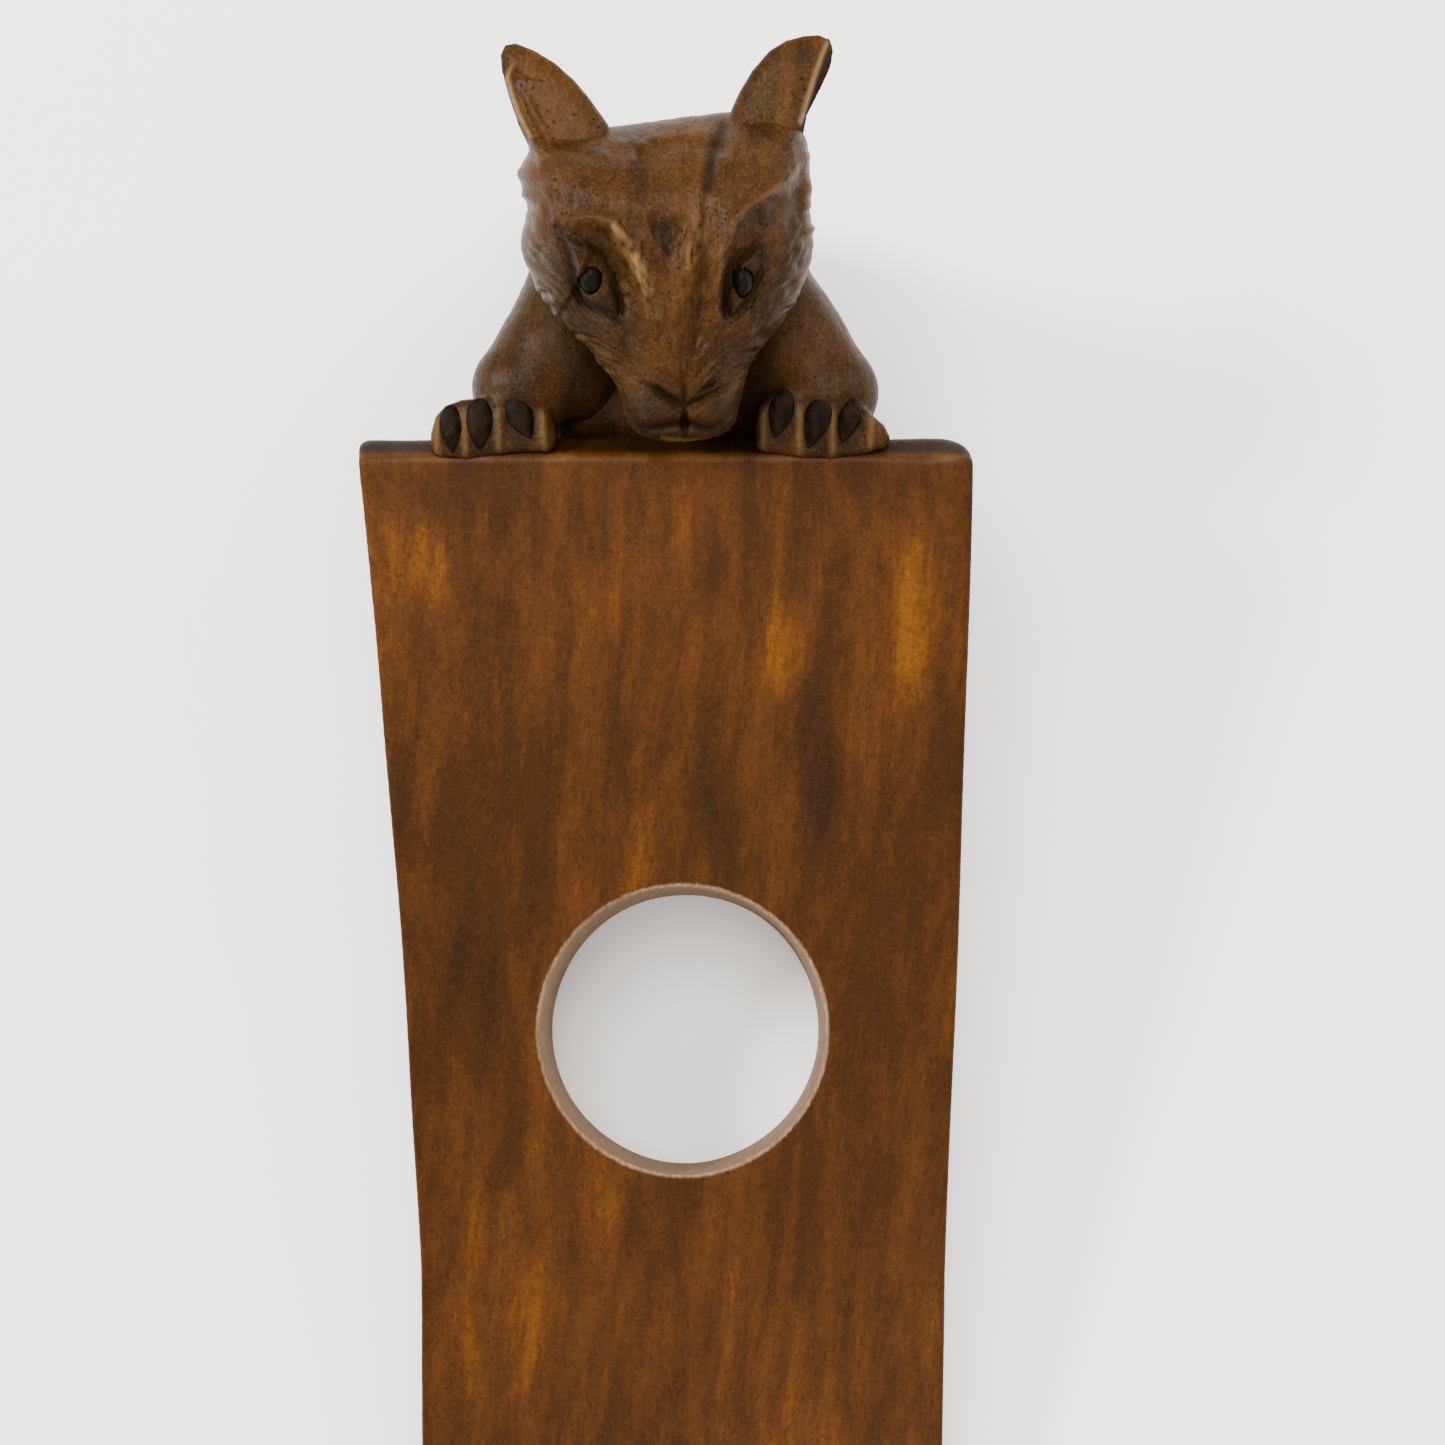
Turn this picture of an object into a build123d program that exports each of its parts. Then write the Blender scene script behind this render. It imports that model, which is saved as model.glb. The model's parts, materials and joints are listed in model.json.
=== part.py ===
from build123d import *
import os

# Hand-carved door wedge: a tapered hardwood block with a round hang-up hole, and a
# small animal standing behind its thick end, with chin and forepaws on the top edge.
# Millimetres, +Z up, +Y towards the thick end. The origin is on the hole's axis at
# the underside of the block. Left and right are seen from the thin end, looking at
# the animal, so left is -X.

# --- wedge block ---------------------------------------------------------------
BLOCK_END_Y = 81.4        # vertical face of the thick end
BLOCK_TIP_Y = -102.5      # blunt edge of the thin end
CREST_Y = 77.9            # front line of the bevel along the thick end's top
CREST_Z = 45.2            # height of the block at that line
SLOPE = 0.233             # rise of the upper face per millimetre towards the thick end
BEVEL_DROP = 2.2          # height lost over the bevel
HALF_WIDTH = 37.2         # parallel part, from the thin end to the flare
FLARE_Y = -34.0           # the sides begin to flare here
FLARE_LEFT = 7.0          # extra width at the thick end, left and right
FLARE_RIGHT = 2.8
TIP_CORNER = 5.0          # plan radius of the thin end's corners
END_CORNER = 2.0          # plan radius of the thick end's corners
EDGE_ROUND = 0.7          # eased edges round the upper face
HOLE_RADIUS = 20.0        # hang-up hole, square to the underside
HOLE_EASE = 0.6           # eased upper rim of the hole

# --- animal --------------------------------------------------------------------
AXIS_X = -2.0             # the animal's centre-line
CHIN_X = 0.9              # the head is turned a little to the right
EYE_RADIUS = 2.3
EYE_LEFT = (-10.9, 94.2, 69.0)
EYE_RIGHT = (8.9, 93.8, 69.2)
CLAW_LENGTH = 6.2
CLAW_RADIUS = 1.55
CLAWS_LEFT = (-31.3, -27.2, -22.2)
CLAWS_RIGHT = (12.9, 17.6, 22.3)
CLAW_Y, CLAW_Z = 81.4, 48.2
CLAW_PITCH = 24.0         # claws dip towards the upper face, degrees

HEAD = (                  # y, centre x and z, half width, half height of each cross-section
    (78.2, 0.9, 56.0, 5.0, 4.2),
    (80.0, 0.9, 55.6, 7.8, 7.2),
    (84.0, 0.8, 55.8, 9.4, 9.2),
    (89.0, 0.2, 57.2, 11.6, 10.8),
    (95.0, -1.2, 59.0, 16.2, 13.2),
    (102.0, -2.0, 60.6, 18.8, 15.2),
    (109.0, -2.0, 61.2, 17.6, 14.8),
    (115.0, -2.0, 61.8, 12.4, 10.8),
    (118.6, -2.0, 62.4, 5.6, 5.0),
)
TORSO = (                 # centre x, y, height, half width, half depth of each cross-section
    (-2.6, 103.0, 0.0, 15.0, 17.0),
    (-2.6, 103.0, 7.0, 19.0, 21.5),
    (-2.6, 103.0, 18.0, 19.6, 22.6),
    (-2.4, 102.5, 28.0, 17.6, 20.6),
    (-2.0, 103.0, 38.0, 15.6, 16.6),
    (-2.0, 104.0, 46.0, 14.6, 14.0),
    (-2.0, 105.0, 52.0, 11.5, 10.5),
)
TAIL = (                  # centre points and radii from the rump to the tip
    ((0.5, 116, 9.5), 7.4),
    ((-3.0, 124, 6.6), 6.2),
    ((-10.0, 127.5, 5.2), 5.1),
    ((-16.5, 124, 4.2), 4.1),
    ((-20.0, 117, 3.4), 3.2),
)


def face_height(y):
    """Height of the block's sloping upper face."""
    return CREST_Z + SLOPE * (y - CREST_Y)


def ellipsoid(centre, radii, turn=(0, 0, 0)):
    """Solid ellipsoid with the given semi-axes, turned and then moved to its centre."""
    return Location(centre) * Rotation(*turn) * scale(Sphere(1), by=radii)


def limb(start, end, r_start, r_end):
    """Round tapered limb between two points, with rounded ends."""
    p, q = Vector(*start), Vector(*end)
    path = q - p
    base = Plane(origin=p, z_dir=path)
    shaft = loft([base * Circle(r_start), base.offset(path.length) * Circle(r_end)])
    return shaft + Pos(*start) * Sphere(r_start) + Pos(*end) * Sphere(r_end)


def block():
    """Tapered block: side profile cut to the flared plan outline, eased, with its hole."""
    profile = Polyline(
        (BLOCK_TIP_Y, 0),
        (BLOCK_END_Y, 0),
        (BLOCK_END_Y, CREST_Z - BEVEL_DROP),
        (CREST_Y, CREST_Z),
        (BLOCK_TIP_Y, face_height(BLOCK_TIP_Y)),
        close=True,
    )
    body = extrude(Plane.YZ * make_face(profile), 60, both=True)
    left, right = -HALF_WIDTH, HALF_WIDTH
    end_left, end_right = left - FLARE_LEFT, right + FLARE_RIGHT
    plan = [
        Polyline((left, FLARE_Y), (left, BLOCK_TIP_Y), (right, BLOCK_TIP_Y), (right, FLARE_Y)),
        Spline((right, FLARE_Y), (end_right, BLOCK_END_Y), tangents=[(0, 1), (0.03, 1)]),
        Line((end_right, BLOCK_END_Y), (end_left, BLOCK_END_Y)),
        Spline((left, FLARE_Y), (end_left, BLOCK_END_Y), tangents=[(0, 1), (-0.09, 1)]),
    ]
    outline = extrude(make_face(plan), 80)
    uprights = outline.edges().filter_by(Axis.Z).group_by(Axis.Y)
    outline = fillet(uprights[0], TIP_CORNER)
    uprights = outline.edges().filter_by(Axis.Z).group_by(Axis.Y)
    outline = fillet(uprights[-1], END_CORNER)
    body = body & outline
    rim = [
        e for e in body.edges()
        if 2.5 < e.center().Z and e.center().Y < CREST_Y + 0.2
        and abs(e.center().Z - face_height(e.center().Y)) < 3
        and abs(e.tangent_at(0.5).Z) < 0.9
    ]
    body = fillet(rim, EDGE_ROUND)
    body = body - Pos(0, 0, 30) * Cylinder(HOLE_RADIUS, 80)
    rim = [e for e in body.edges()
           if e.length > 100 and e.bounding_box().max.X < HOLE_RADIUS + 0.5
           and e.bounding_box().max.Z > 5]
    return chamfer(rim, HOLE_EASE)


def torso():
    """Upright body with haunches, long hind feet and a tail curled round on the floor."""
    rings = [Plane((x, y, z)) * Ellipse(half_width, half_depth)
             for x, y, z, half_width, half_depth in TORSO]
    shape = loft(rings)
    for side, reach in ((-1, 13.2), (1, 13.0)):
        x = AXIS_X - 0.8 + side * reach
        shape += ellipsoid((x, 103, 17), (7.2, 16, 15), (0, 0, side * 6))
        shape += ellipsoid((x, 93, 3.6), (5.0, 14, 4.6))
    for (p, r), (q, r_next) in zip(TAIL, TAIL[1:]):
        shape += limb(p, q, r, r_next)
    keep = Pos(0, BLOCK_END_Y + 50, 40) * Box(120, 100, 80)
    return shape & keep


def skull():
    """Broad-browed head with a blunt muzzle, before ears and eyes are let in."""
    rings = [Plane((x, y, z), x_dir=(1, 0, 0), z_dir=(0, 1, 0)) * Ellipse(half_width, half_height)
             for y, x, z, half_width, half_height in HEAD]
    shape = loft(rings)
    for side in (-1, 1):
        x = AXIS_X + 1 + side * 6.6
        shape += ellipsoid((x, 96.5, 69.0), (3.7, 8.0, 4.0), (14, 0, side * 16))
    cleft = Pos(CHIN_X, 77.5, 55) * Box(0.9, 4, 7)
    mouth = Pos(CHIN_X, 78.5, 51.6) * Rotation(0, 90, 0) * Cylinder(0.8, 13)
    return shape - cleft - mouth


def ear(side):
    """Leaf-shaped ear, hollowed on its outer side."""
    x = -15.6 if side < 0 else 12.4
    place = Location((x, 114.5, 75.0)) * Rotation(28, side * 24, -side * 30)
    blade = scale(Sphere(1), by=(5.2, 9.6, 2.7))
    hollow = Pos(side * 1.2, 1.4, 2.6) * scale(Sphere(1), by=(3.7, 7.4, 2.9))
    return place * (blade - hollow)


def forelimb(side):
    """Shoulder, arm and paw; the paw lies over the thick end's top edge."""
    if side < 0:
        shoulder, elbow, wrist, palm = (-14.5, 101, 44), (-20.5, 92, 44), (-25.5, 85.5, 46.5), -26.9
    else:
        shoulder, elbow, wrist, palm = (10.6, 101, 44), (16.6, 92, 44), (18.8, 85.5, 46.5), 18.9
    arm = ellipsoid(shoulder, (7.6, 9.0, 13.0)) + limb(elbow, wrist, 6.4, 5.0)
    arm += limb(shoulder, elbow, 7.0, 6.2)
    arm += ellipsoid((palm, 83.7, 46.2), (7.6, 5.6, 3.8))
    claws = CLAWS_LEFT if side < 0 else CLAWS_RIGHT
    for x in claws:
        arm += limb((x, 84.0, 47.4), (x, 80.2, 46.3), 2.3, 1.7)
    if side > 0:
        arm += limb((25.6, 84.0, 47.0), (25.8, 80.0, 45.8), 2.2, 1.7)
    return arm


def claw(x):
    """One pointed claw set into the end of a finger."""
    cone = Cone(CLAW_RADIUS, 0.35, CLAW_LENGTH)
    return Location((x, CLAW_Y, CLAW_Z)) * Rotation(90 + CLAW_PITCH, 0, 0) * cone


block_solid = block()
eyes = {"left_eye": Pos(*EYE_LEFT) * Sphere(EYE_RADIUS),
        "right_eye": Pos(*EYE_RIGHT) * Sphere(EYE_RADIUS)}
left_claws = [claw(x) - block_solid for x in CLAWS_LEFT]
right_claws = [claw(x) - block_solid for x in CLAWS_RIGHT]
head_solid = skull() - block_solid
for eye in eyes.values():
    head_solid -= eye
left_ear_solid = ear(-1) - head_solid
right_ear_solid = ear(1) - head_solid
arms = {}
for name, side, claws in (("left_forelimb", -1, left_claws), ("right_forelimb", 1, right_claws)):
    arms[name] = forelimb(side) - block_solid - head_solid - claws
torso_solid = torso() - head_solid - arms["left_forelimb"] - arms["right_forelimb"]

nodes = {
    "wedge_block": block_solid,
    "torso": torso_solid,
    "head": head_solid,
    "left_forelimb": arms["left_forelimb"],
    "right_forelimb": arms["right_forelimb"],
    "left_ear": left_ear_solid,
    "right_ear": right_ear_solid,
    "left_eye": eyes["left_eye"],
    "right_eye": eyes["right_eye"],
    "left_claws": Compound(left_claws),
    "right_claws": Compound(right_claws),
}

os.makedirs("parts", exist_ok=True)
for name, solid in nodes.items():
    export_step(solid, f"parts/{name}.step")
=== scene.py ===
import json
import math
import bpy
import numpy as np
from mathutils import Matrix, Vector


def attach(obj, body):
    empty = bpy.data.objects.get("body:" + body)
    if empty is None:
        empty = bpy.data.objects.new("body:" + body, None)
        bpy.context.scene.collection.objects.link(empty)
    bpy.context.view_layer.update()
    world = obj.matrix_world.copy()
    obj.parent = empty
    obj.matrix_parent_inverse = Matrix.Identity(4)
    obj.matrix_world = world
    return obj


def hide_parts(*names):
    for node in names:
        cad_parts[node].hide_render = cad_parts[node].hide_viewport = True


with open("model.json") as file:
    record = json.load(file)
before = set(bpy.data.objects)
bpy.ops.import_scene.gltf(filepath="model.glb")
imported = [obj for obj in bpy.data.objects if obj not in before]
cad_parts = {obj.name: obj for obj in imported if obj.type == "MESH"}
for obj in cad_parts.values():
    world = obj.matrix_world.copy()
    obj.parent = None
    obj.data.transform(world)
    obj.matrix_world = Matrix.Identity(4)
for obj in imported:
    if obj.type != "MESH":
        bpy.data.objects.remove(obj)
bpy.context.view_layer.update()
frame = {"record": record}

# A door wedge with a carved animal leaning on its thick end. Shapes are worked out in
# millimetres and meshed in metres, in the CAD frame: +Y to the thick end, +Z up.
MM = 0.001
HOLE_R = next(m for m in frame["record"]["mounts"] if m["name"] == "hang_hole")["dims"]["r_mm"]


# ---------------------------------------------------------------- camera first
# Almost straight down over the hole, pitched a little towards the thick end.
CAMERA_AT = (5.56 * MM, 7.1 * MM, 365.2 * MM)
CAMERA_PITCH = 6.135
SENSOR_WIDTH, LENS = 36.0, 59.8


def aim_camera():
    cam = bpy.data.cameras.new("camera")
    cam.sensor_width = SENSOR_WIDTH
    cam.lens = LENS
    camera = bpy.data.objects.new("camera", cam)
    camera.location = CAMERA_AT
    camera.rotation_euler = (math.radians(CAMERA_PITCH), 0.0, 0.0)
    bpy.context.scene.collection.objects.link(camera)
    bpy.context.scene.camera = camera


aim_camera()


# ---------------------------------------------------------------- solid fields
# Shapes are signed distances in millimetres on arrays of points (x, y, z).
def smin(a, b, k):
    """The nearer of two shapes, blended where they are within about k of each other."""
    h = np.clip(0.5 + 0.5 * (b - a) / k, 0.0, 1.0)
    return b + (a - b) * h - k * h * (1.0 - h)


def smax(a, b, k):
    """What two shapes share, with the edge between them rounded by about k."""
    return -smin(-a, -b, k)


def turned(p, centre, turn):
    """Points seen from a frame at centre, turned by degrees about Z, then Y, then X."""
    x, y, z = (p[i] - centre[i] for i in range(3))
    if turn == (0, 0, 0):
        return x, y, z
    ax, ay, az = (math.radians(t) for t in turn)
    c, s = math.cos(az), math.sin(az)
    x, y = c * x + s * y, -s * x + c * y
    c, s = math.cos(ay), math.sin(ay)
    x, z = c * x - s * z, s * x + c * z
    c, s = math.cos(ax), math.sin(ax)
    y, z = c * y + s * z, -s * y + c * z
    return x, y, z


def ell(p, centre, radii, turn=(0, 0, 0)):
    """Ellipsoid, whose value is nearly a distance close to its surface."""
    x, y, z = turned(p, centre, turn)
    a, b, c = radii
    k0 = np.sqrt((x / a) ** 2 + (y / b) ** 2 + (z / c) ** 2) + 1e-6
    k1 = np.sqrt((x / a ** 2) ** 2 + (y / b ** 2) ** 2 + (z / c ** 2) ** 2) + 1e-6
    return k0 * (k0 - 1.0) / k1


def rod(p, a, b, ra, rb):
    """Round limb tapering from radius ra at a to rb at b."""
    d = [b[i] - a[i] for i in range(3)]
    q = [p[i] - a[i] for i in range(3)]
    t = np.clip(sum(q[i] * d[i] for i in range(3)) / (sum(v * v for v in d) + 1e-9), 0.0, 1.0)
    return np.sqrt(sum((q[i] - t * d[i]) ** 2 for i in range(3))) - (ra + (rb - ra) * t)


def chain(p, points, k=0.6):
    """Limb through several (centre, radius) points."""
    out = None
    for (a, ra), (b, rb) in zip(points, points[1:]):
        d = rod(p, a, b, ra, rb)
        out = d if out is None else smin(out, d, k)
    return out


def bell(distance, width):
    """1 at no distance, dying away over about twice the width."""
    return np.exp(-(distance / width) ** 2)


def fade(value, start, full):
    """0 up to start, rising in a straight line to 1 at full, which may lie below start."""
    return np.clip((value - start) / (full - start), 0, 1)


def value_noise(a, b, c, seed):
    """Smooth random values in -1..1 at real-valued cell coordinates."""
    ia, ib, ic = (np.floor(v).astype(np.int64) for v in (a, b, c))
    fa, fb, fc = a - ia, b - ib, c - ic
    fa, fb, fc = (f * f * (3 - 2 * f) for f in (fa, fb, fc))

    def corner(i, j, k):
        n = (ia + i) * 73856093 ^ (ib + j) * 19349663 ^ (ic + k) * 83492791 ^ seed * 2654435761
        n = (n ^ (n >> 13)) * 1274126177 & 0x7FFFFFFF
        n = (n ^ (n >> 16)) & 0xFFFF
        return n / 32767.5 - 1.0

    out = 0.0
    for i in (0, 1):
        for j in (0, 1):
            for k in (0, 1):
                w = (fa if i else 1 - fa) * (fb if j else 1 - fb) * (fc if k else 1 - fc)
                out = out + w * corner(i, j, k)
    return out


def mesh_field(field, low, high, step):
    """Closed quad mesh of the zero surface of field inside the box low..high."""
    axes = [np.arange(low[i] - 2 * step, high[i] + 2 * step + 1e-6, step) for i in range(3)]
    shape = [len(a) for a in axes]
    f = np.empty(shape, np.float32)
    for i in range(0, shape[0], 24):
        grid = np.meshgrid(axes[0][i:i + 24], axes[1], axes[2], indexing="ij")
        f[i:i + 24] = field(grid)
    f[0], f[-1], f[:, 0], f[:, -1], f[:, :, 0], f[:, :, -1] = (1.0,) * 6
    inside = f < 0
    count = np.zeros([n - 1 for n in shape], np.int8)
    for dx in (0, 1):
        for dy in (0, 1):
            for dz in (0, 1):
                count += inside[dx:shape[0] - 1 + dx, dy:shape[1] - 1 + dy, dz:shape[2] - 1 + dz]
    cells = np.argwhere((count > 0) & (count < 8))
    ids = np.full(count.shape, -1, np.int64)
    ids[tuple(cells.T)] = np.arange(len(cells))
    p = [axes[i][cells[:, i]] + 0.5 * step for i in range(3)]
    p = settle(field, p, step, 5)
    quads = []
    for axis in range(3):
        u, v = [(1, 2), (2, 0), (0, 1)][axis]
        lo = [slice(1, n - 1) for n in shape]
        lo[axis] = slice(0, shape[axis] - 1)
        hi = list(lo)
        hi[axis] = slice(1, shape[axis])
        a, b = inside[tuple(lo)], inside[tuple(hi)]
        for flip in (False, True):
            at = np.argwhere((b & ~a) if flip else (a & ~b))
            for i in range(3):
                if i != axis:
                    at[:, i] += 1
            corners = []
            for du, dv in ((1, 1), (0, 1), (0, 0), (1, 0)):
                c = at.copy()
                c[:, u] -= du
                c[:, v] -= dv
                corners.append(ids[tuple(c.T)])
            q = np.stack(corners, 1)
            quads.append(q[:, ::-1] if flip else q)
    return np.stack(p, 1), np.concatenate(quads)


def settle(field, p, reach, rounds):
    """Move points along the field's gradient until they lie on its zero surface."""
    e = 0.05
    start = [c.copy() for c in p]
    for _ in range(rounds):
        d = field(p)
        g = [(field([p[j] + (e if j == i else 0.0) for j in range(3)]) - d) / e for i in range(3)]
        size = g[0] ** 2 + g[1] ** 2 + g[2] ** 2 + 0.05
        p = [p[i] - 0.8 * d * g[i] / size for i in range(3)]
        p = [np.clip(p[i], start[i] - 0.75 * reach, start[i] + 0.75 * reach) for i in range(3)]
    return p


def normals(field, p):
    """Outward unit normals of a field at points."""
    e = 0.15
    g = [field([p[j] + (e if j == i else 0.0) for j in range(3)])
         - field([p[j] - (e if j == i else 0.0) for j in range(3)]) for i in range(3)]
    n = np.sqrt(sum(c * c for c in g)) + 1e-9
    return [c / n for c in g]


def build(name, node, field, low, high, step, paint=None, relief=None):
    """Mesh a field as the piece that replaces a node; relief moves points along the normal."""
    step = step * 1.0
    verts, quads = mesh_field(field, low, high, step)
    p = [verts[:, i] for i in range(3)]
    if relief is not None:
        n, d = normals(field, p), relief(p)
        p = [p[i] + n[i] * d for i in range(3)]
        verts = np.stack(p, 1)
    mesh = bpy.data.meshes.new(name)
    mesh.vertices.add(len(verts))
    mesh.vertices.foreach_set("co", (verts * MM).astype(np.float32).ravel())
    mesh.loops.add(quads.size)
    mesh.loops.foreach_set("vertex_index", quads.astype(np.int32).ravel())
    mesh.polygons.add(len(quads))
    mesh.polygons.foreach_set("loop_start", np.arange(0, quads.size, 4, dtype=np.int32))
    mesh.polygons.foreach_set("loop_total", np.full(len(quads), 4, np.int32))
    mesh.update(calc_edges=True)
    mesh.validate()
    mesh.shade_smooth()
    if paint is not None:
        for label, values in paint(p).items():
            layer = mesh.attributes.new(label, "FLOAT", "POINT")
            layer.data.foreach_set("value", values.astype(np.float32))
    piece = bpy.data.objects.new(name, mesh)
    bpy.context.scene.collection.objects.link(piece)
    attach(piece, "root")
    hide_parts(node)
    print("piece", name, len(verts), "points")
    return piece


# ---------------------------------------------------------------- wedge block
# The crest is the top edge of the thick end; the upper face falls from it towards the
# tip, and a steeper lip falls from it to the end face.
END_Y, TIP_Y = 81.6, -102.5
CREST_Y, CREST_Z, SLOPE, LIP_SLOPE = 77.9, 45.2, 0.233, 0.85
HALF_W, FLARE_Y, FLARE_L, FLARE_R = 37.2, -34.0, 7.0, 2.8
FACE_SCALE, LIP_SCALE = 0.974, 0.76     # turn heights above the two slopes into distances
CORNER_L, CORNER_R = 1.6, 4.5           # plan radii at the thick end's corners


def block_field(p):
    x, y, z = p
    t = np.clip((y - FLARE_Y) / (END_Y - FLARE_Y), 0.0, 1.1)
    bow = 0.35 * np.sin(y * 0.045 + 0.6) + 0.18 * np.sin(y * 0.13)
    left = -(HALF_W + FLARE_L * t ** 1.25) + 0.5 * bow
    right = HALF_W + FLARE_R * t + 0.25 * bow
    side = np.maximum(left - x, x - right)
    arch = 0.0004 * (x + 2.0) ** 2
    waver = 0.12 * np.sin(x * 0.11 + y * 0.03)
    top = (z - (CREST_Z + SLOPE * (y - CREST_Y)) - waver) * FACE_SCALE
    lip = (z - CREST_Z + LIP_SLOPE * (y - CREST_Y + arch)) * LIP_SCALE
    end = y - END_Y + arch + 0.25 * np.sin(x * 0.31) * fade(z, 30, 45)
    corner = np.where(x > 0, CORNER_R, CORNER_L)
    d = smax(smax(side, end, corner), smax(top, lip, 0.35), 0.9)
    d = smax(smax(d, -z, 0.6), TIP_Y - y, 1.2)
    d = smax(d, HOLE_R - np.sqrt(x * x + y * y) - 0.05 * np.sin(np.arctan2(y, x) * 5), 0.9)
    return d


def block_relief(p):
    x, y, z = p
    wave = value_noise(x / 9, y / 26, z / 9, 3) * 0.09
    cut = value_noise(x / 2.6, y / 3.4, z / 2.6, 5) * 0.10
    edge = bell(y - CREST_Y, 3.0)
    return wave + cut * (0.12 + 0.88 * edge) * (z > 1.0)


def block_paint(p):
    x, y, z = p
    # Painted highlight along the crest line, broken by noise and weaker under the chin.
    painted_highlight = 0.08 + 0.3 * np.clip(value_noise(x / 3.0, y / 3.0, z / 3.0, 71), 0, 1)
    crest = painted_highlight * bell(y - CREST_Y + 0.2, 0.45) * (z > CREST_Z - 1.5)
    # The lip and end face are painted darker.
    end = fade(y, CREST_Y + 0.3, CREST_Y + 1.1)
    # Painted shade under the chin, where the lip lies in the shadow between the paws.
    chin_shade = fade(np.abs(x + 3.0), 17.5, 16.0) * fade(y, CREST_Y + 0.5, CREST_Y + 1.1)
    return {"rim": crest * (1 - 0.7 * chin_shade), "dark": np.maximum(0.85 * end, 0.75 * chin_shade)}


# ---------------------------------------------------------------- animal
# The head is modelled in its own frame: u to the right, v towards the crown,
# w out of the face.
HEAD_AT = np.array((-2.0, 100.0, 60.0))
FACE_W = np.array((0.0237, -0.2911, 0.9564))
FACE_V = np.array((0.0, 0.95666, 0.2912))
FACE_U = np.cross(FACE_V, FACE_W)


def to_face(p):
    q = [p[i] - HEAD_AT[i] for i in range(3)]
    return [sum(q[i] * axis[i] for i in range(3)) for axis in (FACE_U, FACE_V, FACE_W)]


def from_face(u, v, w):
    return tuple(HEAD_AT + u * FACE_U + v * FACE_V + w * FACE_W)


# Shapes drawn over the face plane are worked out once on a fine sheet.
SHEET_LOW, SHEET_STEP, SHEET_SIZE = -27.0, 0.1, 540


def leaf_distance(u, v, points):
    """Signed distance to a closed outline in the plane."""
    best = np.full_like(u, 1e9)
    inside = np.zeros(u.shape, bool)
    for (ua, va), (ub, vb) in zip(points, points[1:] + points[:1]):
        du, dv = ub - ua, vb - va
        t = np.clip(((u - ua) * du + (v - va) * dv) / (du * du + dv * dv), 0, 1)
        best = np.minimum(best, (u - ua - t * du) ** 2 + (v - va - t * dv) ** 2)
        cross = ((va > v) != (vb > v)) & (u < (ub - ua) * (v - va) / (vb - va + 1e-12) + ua)
        inside ^= cross
    best = np.sqrt(best)
    return np.where(inside, -best, best)


def line_distance(u, v, points):
    """Distance to a drawn line, the same signed to the right of travel, and its strength there."""
    best, side, power = np.full_like(u, 1e9), np.zeros_like(u), np.zeros_like(u)
    for (ua, va, sa), (ub, vb, sb) in zip(points, points[1:]):
        du, dv = ub - ua, vb - va
        t = np.clip(((u - ua) * du + (v - va) * dv) / (du * du + dv * dv), 0, 1)
        d = np.hypot(u - ua - t * du, v - va - t * dv)
        near = d < best
        best = np.where(near, d, best)
        side = np.where(near, d * np.sign((u - ua) * dv - (v - va) * du), side)
        power = np.where(near, sa + (sb - sa) * t, power)
    return best, side, power


def curve(points, closed=False, steps=3):
    """Smooth curve through a few points, drawn as short straight steps."""
    own = [np.array(q, float) for q in points]
    ends = own[-1:] + own + own[:2] if closed else own[:1] + own + own[-1:]
    path = []
    for a, b, c, d in zip(ends, ends[1:], ends[2:], ends[3:]):
        for t in np.arange(steps) / steps:
            square = (2 * a - 5 * b + 4 * c - d) * t * t
            cube = (3 * b - a - 3 * c + d) * t ** 3
            path.append(tuple(0.5 * (2 * b + (c - a) * t + square + cube)))
    return tuple(path) if closed else tuple(path) + (tuple(own[-1]),)


def soften(values, rounds):
    for _ in range(rounds):
        values = (np.roll(values, 1, 0) + 2 * values + np.roll(values, -1, 0)) / 4
        values = (np.roll(values, 1, 1) + 2 * values + np.roll(values, -1, 1)) / 4
    return values


def read_sheet(values, u, v):
    a = np.clip((u - SHEET_LOW) / SHEET_STEP, 0, SHEET_SIZE - 1.001)
    b = np.clip((v - SHEET_LOW) / SHEET_STEP, 0, SHEET_SIZE - 1.001)
    i, j = a.astype(np.int32), b.astype(np.int32)
    a, b = a - i, b - j
    return ((values[i, j] * (1 - a) + values[i + 1, j] * a) * (1 - b)
            + (values[i, j + 1] * (1 - a) + values[i + 1, j + 1] * a) * b)


def along(v, stops):
    """Smoothly varying value at height v from (v, value) stops."""
    at, values = zip(*stops)
    shifts = (-3.0, -2.0, -1.0, 0.0, 1.0, 2.0, 3.0)
    return sum(np.interp(v + shift, at, values) for shift in shifts) / len(shifts)


# Outlines and cut lines on the face: a few points in millimetres, nearly all joined by
# smooth curves. A third number is how strongly the line is cut there.
OUTLINE = curve((
    (-17.0, 16.5), (-7.0, 17.5), (4.0, 19.0), (13.0, 19.5), (18.0, 17.0), (19.0, 12.0), (19.0, 7.0),
    (19.5, 2.5), (17.0, -5.0), (11.5, -12.5), (10.0, -17.5), (8.5, -21.5), (3.0, -23.0), (-2.5, -22.5),
    (-5.0, -20.5), (-6.5, -15.5), (-10.5, -10.5), (-16.0, -4.5), (-18.5, 2.0), (-18.0, 7.0),
    (-19.0, 12.0), (-17.5, 14.5)), closed=True)
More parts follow.
